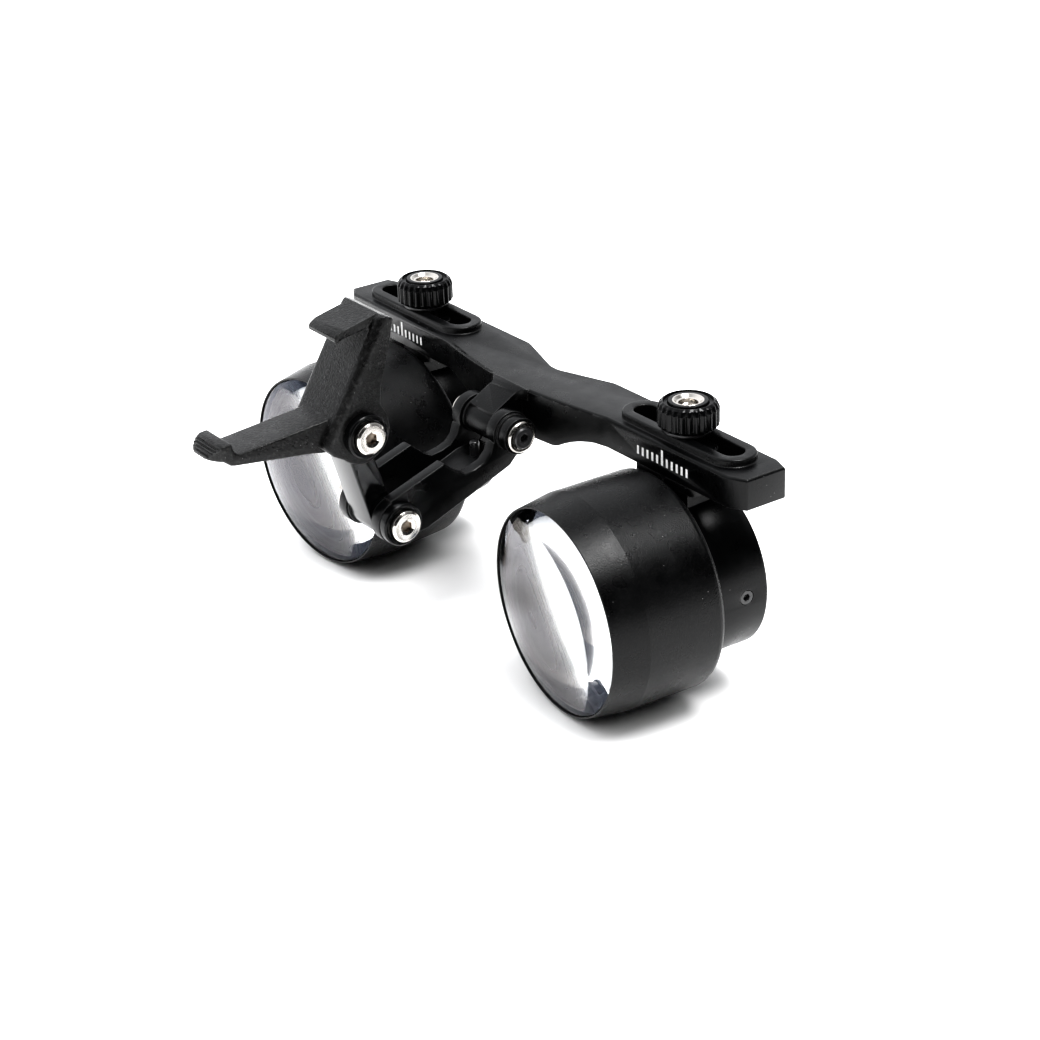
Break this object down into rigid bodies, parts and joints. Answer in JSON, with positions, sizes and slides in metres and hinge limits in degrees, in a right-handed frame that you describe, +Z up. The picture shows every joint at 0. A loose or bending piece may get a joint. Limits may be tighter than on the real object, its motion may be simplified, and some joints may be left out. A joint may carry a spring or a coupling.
{
  "type": "dental loupes",
  "caption": "Flip-up magnifying loupes: a slotted bar carries sliding telescopes with wide front lenses, and a jointed arm ends in a spectacle clip.",
  "frame": {"origin": "middle of the underside of the bounding box, below the two objective housings that it stands on", "axes": "+X along the cross bar towards the wearer's left as the clip faces the viewer, +Z up, -Y the way the objectives look"},
  "size_m": [0.0918, 0.0604, 0.0509],
  "materials": {
    "black_acetal": "smooth moulded",
    "black_rubber": "matte",
    "black_steel": "black oxide",
    "coated_glass": "polished, anti-reflection coated",
    "gloss_black_anodise": "glossy black anodised",
    "grained_black_anodise": "black anodised with a fine powdery grain",
    "grained_black_nylon": "moulded glass-filled nylon, fine grain",
    "polished_steel": "polished stainless",
    "satin_black_anodise": "satin black anodised, fine bead blast",
    "turned_black_anodise": "black anodised, turned",
    "white_paint": "white engraving fill"
  },
  "bodies": {
    "bar": {"cross_bar": "satin_black_anodise", "left_scale": "white_paint", "right_scale": "white_paint"},
    "yoke": {"yoke": "satin_black_anodise", "stop_screw": "black_steel", "top_hinge_sleeve": "polished_steel", "top_hinge_screw": "black_steel", "top_hinge_nut": "polished_steel", "top_hinge_washers": "black_acetal", "lower_pivot_screw": "polished_steel", "lower_pivot_nut": "polished_steel", "lower_pivot_collar": "turned_black_anodise", "lower_pivot_bush": "black_acetal", "lower_pivot_washers": "black_acetal"},
    "carrier": {"carrier": "gloss_black_anodise"},
    "clip": {"frame_clip": "grained_black_nylon", "clip_pivot_screw": "polished_steel", "clip_pivot_nut": "polished_steel", "clip_pivot_collar": "turned_black_anodise", "clip_pivot_bush": "black_acetal", "clip_pivot_washers": "black_acetal"},
    "left_telescope": {"left_carriage": "satin_black_anodise", "left_clamp_stud": "polished_steel", "left_stud_washer": "polished_steel", "left_set_screw": "black_steel", "left_bell": "grained_black_anodise", "left_eyepiece_tube": "grained_black_anodise", "left_ocular_lens": "coated_glass", "left_ocular_retainer": "turned_black_anodise", "left_objective_front": "coated_glass", "left_objective_rear": "coated_glass", "left_objective_gasket": "black_rubber"},
    "left_knob": {"left_clamp_knob": "turned_black_anodise", "left_knob_insert": "polished_steel"},
    "right_telescope": {"right_carriage": "satin_black_anodise", "right_clamp_stud": "polished_steel", "right_stud_washer": "polished_steel", "right_set_screw": "black_steel", "right_bell": "grained_black_anodise", "right_eyepiece_tube": "grained_black_anodise", "right_ocular_lens": "coated_glass", "right_ocular_retainer": "turned_black_anodise", "right_objective_front": "coated_glass", "right_objective_rear": "coated_glass", "right_objective_gasket": "black_rubber"},
    "right_knob": {"right_clamp_knob": "turned_black_anodise", "right_knob_insert": "polished_steel"}
  },
  "joints": [
    {"name": "left_width_slide", "type": "slide", "parent": "bar", "child": "left_telescope", "axis": [-1, 0, 0], "range_m": [-0.005, 0.005]},
    {"name": "right_width_slide", "type": "slide", "parent": "bar", "child": "right_telescope", "axis": [1, 0, 0], "range_m": [-0.005, 0.005]},
    {"name": "left_knob_turn", "type": "hinge", "parent": "left_telescope", "child": "left_knob", "pos_m": [-0.0305, 0.02487, 0.03957], "axis": [0, 0, 1], "range_deg": [0, 360]},
    {"name": "right_knob_turn", "type": "hinge", "parent": "right_telescope", "child": "right_knob", "pos_m": [0.0305, 0.02487, 0.03957], "axis": [0, 0, 1], "range_deg": [0, 360]},
    {"name": "flip_hinge", "type": "hinge", "parent": "bar", "child": "yoke", "pos_m": [0, 0.01472, 0.02937], "axis": [1, 0, 0], "range_deg": [-136, 52]},
    {"name": "lower_pivot", "type": "hinge", "parent": "yoke", "child": "carrier", "pos_m": [0, -0.00418, 0.02157], "axis": [1, 0, 0], "range_deg": [-15, 60]},
    {"name": "clip_pivot", "type": "hinge", "parent": "carrier", "child": "clip", "pos_m": [0, -0.00878, 0.03557], "axis": [1, 0, 0], "range_deg": [-25, 50]}
  ]
}
